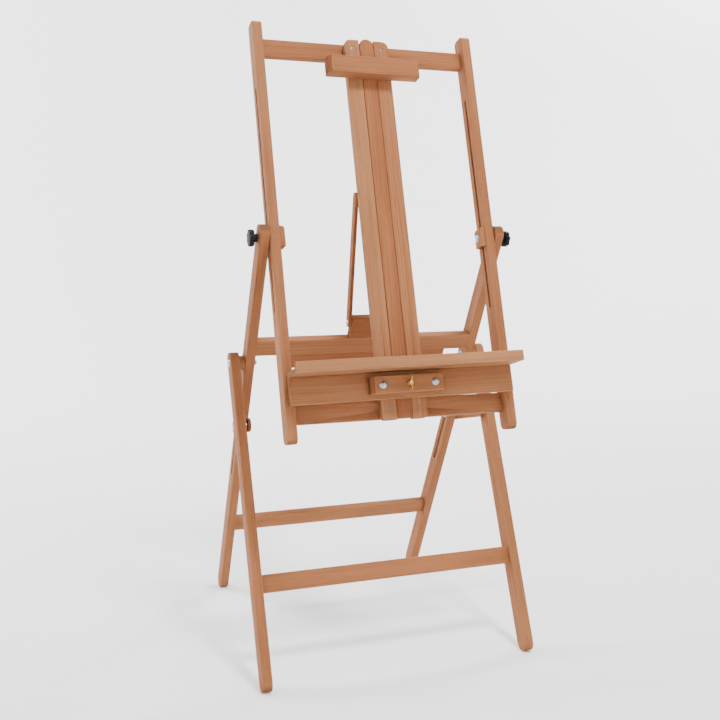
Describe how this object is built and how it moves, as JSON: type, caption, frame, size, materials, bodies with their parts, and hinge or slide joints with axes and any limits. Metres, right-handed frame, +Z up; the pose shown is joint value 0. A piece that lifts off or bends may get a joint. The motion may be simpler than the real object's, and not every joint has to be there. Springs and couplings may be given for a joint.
{
  "type": "wooden artist easel",
  "caption": "Folding wooden artist easel with a tilting, sliding panel frame, adjustable canvas ledge, sliding mast with top clamp and spreader links.",
  "frame": {"origin": "on the floor under the middle of the easel's bounding box, legs open", "axes": "+X to the viewer's right, +Y from front to back, +Z up"},
  "size_m": [0.678, 0.6882, 1.4773],
  "materials": {
    "beech": "oiled, satin",
    "zinc_steel": "zinc plated",
    "brass": "cast, satin",
    "black_plastic": "moulded, fine texture"
  },
  "bodies": {
    "base": {"rear_post_left": "beech", "rear_post_right": "beech", "cross_rail": "beech", "lower_cross_rail": "beech", "rear_stretcher": "beech", "strut_block": "beech", "strut_bolt": "zinc_steel", "rail_screws": "zinc_steel"},
    "front_legs": {"front_leg_left": "beech", "front_leg_right": "beech", "front_stretcher": "beech", "leg_pivot_bolts": "zinc_steel", "leg_pivot_nuts": "zinc_steel", "leg_spacers": "beech", "link_screws": "zinc_steel", "link_washers": "zinc_steel"},
    "left_link": {"link_left": "beech", "link_bolt_left": "zinc_steel", "link_nut_left": "zinc_steel"},
    "right_link": {"link_right": "beech", "link_bolt_right": "zinc_steel", "link_nut_right": "zinc_steel"},
    "tilt_clamps": {"clamp_block_left": "beech", "clamp_block_right": "beech", "knob_bolts": "zinc_steel", "knob_washers": "beech"},
    "left_knob": {"knob_left": "black_plastic"},
    "right_knob": {"knob_right": "black_plastic"},
    "panel": {"upright_left": "beech", "upright_right": "beech", "top_rail": "beech", "bottom_rail": "beech", "batten_left": "beech", "batten_right": "beech", "batten_screws": "zinc_steel"},
    "mast_group": {"mast": "beech", "top_clamp": "beech", "clamp_screws": "zinc_steel"},
    "ledge": {"apron": "beech", "shelf": "beech", "lip": "beech", "clamp_bar": "beech", "back_bar": "beech", "ledge_bolts": "zinc_steel", "ledge_nuts": "zinc_steel"},
    "wing": {"wing_screw": "brass"},
    "strut": {"tilt_strut": "beech"}
  },
  "joints": [
    {"name": "leg_fold", "type": "hinge", "parent": "base", "child": "front_legs", "pos_m": [0, 0.00417, 0.6858], "axis": [1, 0, 0], "range_deg": [0, 46]},
    {"name": "left_link_fold", "type": "hinge", "parent": "front_legs", "child": "left_link", "pos_m": [0, -0.05862, 0.54737], "axis": [1, 0, 0], "range_deg": [-92, 0]},
    {"name": "right_link_fold", "type": "hinge", "parent": "front_legs", "child": "right_link", "pos_m": [0, -0.05862, 0.54737], "axis": [1, 0, 0], "range_deg": [-92, 0]},
    {"name": "panel_tilt", "type": "hinge", "parent": "base", "child": "tilt_clamps", "pos_m": [0, -0.14067, 0.98676], "axis": [-1, 0, 0], "range_deg": [-8, 20]},
    {"name": "panel_slide", "type": "slide", "parent": "tilt_clamps", "child": "panel", "axis": [0, 0.3206, 0.9472], "range_m": [-0.2, 0.15]},
    {"name": "mast_slide", "type": "slide", "parent": "panel", "child": "mast_group", "axis": [0, 0.3206, 0.9472], "range_m": [0, 0.4]},
    {"name": "ledge_slide", "type": "slide", "parent": "panel", "child": "ledge", "axis": [0, 0.3206, 0.9472], "range_m": [0, 0.22]},
    {"name": "wing_turn", "type": "hinge", "parent": "ledge", "child": "wing", "pos_m": [0, -0.31129, 0.67606], "axis": [0, -0.9472, 0.3206], "continuous": true},
    {"name": "left_knob_turn", "type": "hinge", "parent": "tilt_clamps", "child": "left_knob", "pos_m": [0, -0.14067, 0.98676], "axis": [1, 0, 0], "continuous": true},
    {"name": "right_knob_turn", "type": "hinge", "parent": "tilt_clamps", "child": "right_knob", "pos_m": [0, -0.14067, 0.98676], "axis": [1, 0, 0], "continuous": true},
    {"name": "strut_swing", "type": "hinge", "parent": "base", "child": "strut", "pos_m": [0, -0.05341, 0.78238], "axis": [-1, 0, 0], "range_deg": [-3.5, 8.7]}
  ],
  "couplings": [
    {"joint": "left_link_fold", "follows": "leg_fold", "ratio": -2},
    {"joint": "right_link_fold", "follows": "leg_fold", "ratio": -2},
    {"joint": "strut_swing", "follows": "panel_tilt", "ratio": 0.434}
  ]
}
